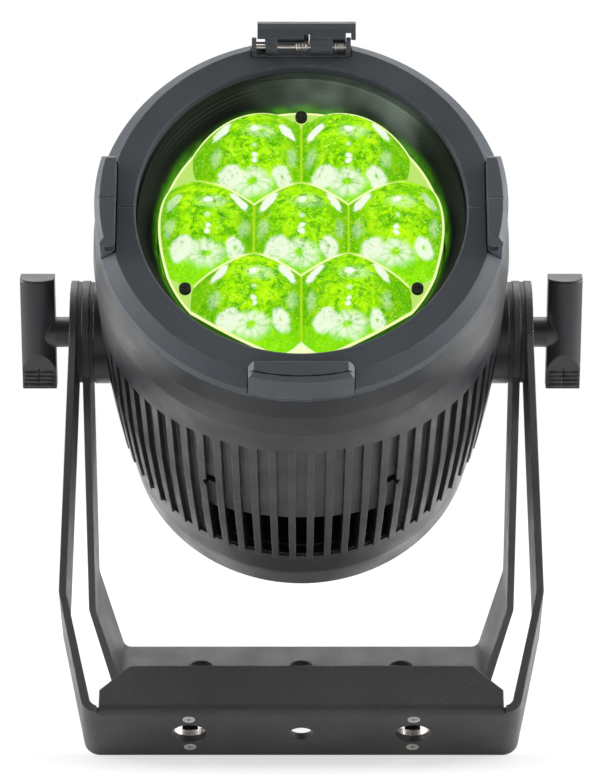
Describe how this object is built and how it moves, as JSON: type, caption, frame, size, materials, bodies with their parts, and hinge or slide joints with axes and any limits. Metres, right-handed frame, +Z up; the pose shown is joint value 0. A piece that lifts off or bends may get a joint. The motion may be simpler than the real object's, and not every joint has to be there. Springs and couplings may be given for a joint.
{
  "type": "par can light",
  "caption": "Zoom LED par can with a lens cluster, slotted round can, accessory clips and spring latch, on a folding double yoke that is both floor stand and hanging bracket.",
  "frame": {"origin": "on the floor, under the centre of the bounding box", "axes": "+Z up, -Y towards the side the light faces, +X to the right as seen from that side"},
  "size_m": [0.321, 0.361, 0.3967],
  "materials": {
    "can_paint": "fine satin powder coat",
    "drum_paint": "satin powder coat",
    "yoke_paint": "textured powder coat",
    "handle_plastic": "moulded nylon",
    "clip_plastic": "moulded, satin",
    "barrel_black": "matt black",
    "friction_rubber": "matt",
    "glass": "clear toughened glass",
    "lens": "clear acrylic, lit lime green",
    "emitter": "lit emitter domes",
    "board": "solder mask",
    "bright_steel": "zinc plated steel",
    "dark_steel": "blackened steel",
    "alloy": "black anodised",
    "bronze": "sintered bronze",
    "window": "smoked window",
    "button_rubber": "silicone",
    "cable_sheath": "matt"
  },
  "bodies": {
    "outer_yoke": {"outer_yoke": "yoke_paint", "lock_sockets": "bright_steel", "lock_detents": "dark_steel", "lock_screws": "bright_steel", "outer_friction_discs": "friction_rubber", "knob_washers": "bright_steel"},
    "inner_yoke": {"inner_yoke": "yoke_paint"},
    "zoom_carriage": {"lens_plate": "lens", "lens_screws": "dark_steel", "lens_carrier": "barrel_black", "guide_bushes": "bronze"},
    "lead_screw": {"lead_screw": "bright_steel"},
    "fan_rotor": {"fan_rotor": "barrel_black"},
    "latch_flap": {"latch_flap": "clip_plastic"},
    "knob_left": {"knob_left": "handle_plastic"},
    "knob_right": {"knob_right": "handle_plastic"},
    "button_1": {"button_1": "button_rubber"},
    "button_2": {"button_2": "button_rubber"},
    "button_3": {"button_3": "button_rubber"},
    "button_4": {"button_4": "button_rubber"},
    "head": {"body_shell": "can_paint", "bezel_upper": "can_paint", "bezel_lower": "can_paint", "rear_cover": "can_paint", "pivot_bosses": "can_paint", "rear_bulkhead": "can_paint", "inner_drum": "drum_paint", "accessory_clips": "clip_plastic", "latch_bracket": "clip_plastic", "inner_barrel": "barrel_black", "pipe_holder": "barrel_black", "fan_frame": "barrel_black", "display_frame": "barrel_black", "panel_sockets": "barrel_black", "breather_vent": "barrel_black", "inner_friction_discs": "friction_rubber", "front_gasket": "friction_rubber", "rear_seals": "friction_rubber", "front_glass": "glass", "light_pipes": "lens", "led_emitters": "emitter", "led_board": "board", "control_board": "board", "power_supply": "board", "latch_pin": "bright_steel", "latch_springs": "bright_steel", "pivot_studs": "bright_steel", "guide_rods": "bright_steel", "fan_bearings": "bright_steel", "safety_eye": "bright_steel", "chassis_screws": "bright_steel", "casing_screws": "dark_steel", "bezel_screws": "dark_steel", "cover_screws": "dark_steel", "zoom_motor": "dark_steel", "fan_stator": "dark_steel", "heatsink": "alloy", "display_window": "window", "led_cable": "cable_sheath"}
  },
  "joints": [
    {"name": "head_tilt", "type": "hinge", "parent": "outer_yoke", "child": "head", "pos_m": [0, 0.00647, 0.21961], "axis": [1, 0, 0], "range_deg": [-115, 90]},
    {"name": "stand_fold", "type": "hinge", "parent": "outer_yoke", "child": "inner_yoke", "pos_m": [0, 0.00647, 0.21961], "axis": [1, 0, 0], "range_deg": [-60.27, 30]},
    {"name": "left_lock_turn", "type": "hinge", "parent": "head", "child": "knob_left", "pos_m": [0, 0.00647, 0.21961], "axis": [-1, 0, 0], "range_deg": [-180, 90]},
    {"name": "right_lock_turn", "type": "hinge", "parent": "head", "child": "knob_right", "pos_m": [0, 0.00647, 0.21961], "axis": [1, 0, 0], "range_deg": [-180, 90]},
    {"name": "latch_turn", "type": "hinge", "parent": "head", "child": "latch_flap", "pos_m": [0, -0.06168, 0.38273], "axis": [-1, 0, 0], "range_deg": [0, 30], "stiffness_Nm_per_rad": 0.25, "springref_deg": -20.05},
    {"name": "zoom_slide", "type": "slide", "parent": "head", "child": "zoom_carriage", "axis": [0, -0.8425, 0.5388], "range_m": [-0.022, 0]},
    {"name": "lead_screw_turn", "type": "hinge", "parent": "head", "child": "lead_screw", "pos_m": [0, -0.00798, 0.30838], "axis": [0, -0.8425, 0.5388], "range_deg": [-4320, 360]},
    {"name": "fan_spin", "type": "hinge", "parent": "head", "child": "fan_rotor", "pos_m": [0, 0.04859, 0.19267], "axis": [0, -0.8425, 0.5388], "continuous": true},
    {"name": "button_1_press", "type": "slide", "parent": "head", "child": "button_1", "axis": [0, -0.8425, 0.5388], "range_m": [0, 0.0008], "stiffness_N_per_m": 900, "springref_m": -0.0006},
    {"name": "button_2_press", "type": "slide", "parent": "head", "child": "button_2", "axis": [0, -0.8425, 0.5388], "range_m": [0, 0.0008], "stiffness_N_per_m": 900, "springref_m": -0.0006},
    {"name": "button_3_press", "type": "slide", "parent": "head", "child": "button_3", "axis": [0, -0.8425, 0.5388], "range_m": [0, 0.0008], "stiffness_N_per_m": 900, "springref_m": -0.0006},
    {"name": "button_4_press", "type": "slide", "parent": "head", "child": "button_4", "axis": [0, -0.8425, 0.5388], "range_m": [0, 0.0008], "stiffness_N_per_m": 900, "springref_m": -0.0006}
  ],
  "couplings": [
    {"joint": "lead_screw_turn", "follows": "zoom_slide", "rad_per_m": 3141.6}
  ]
}
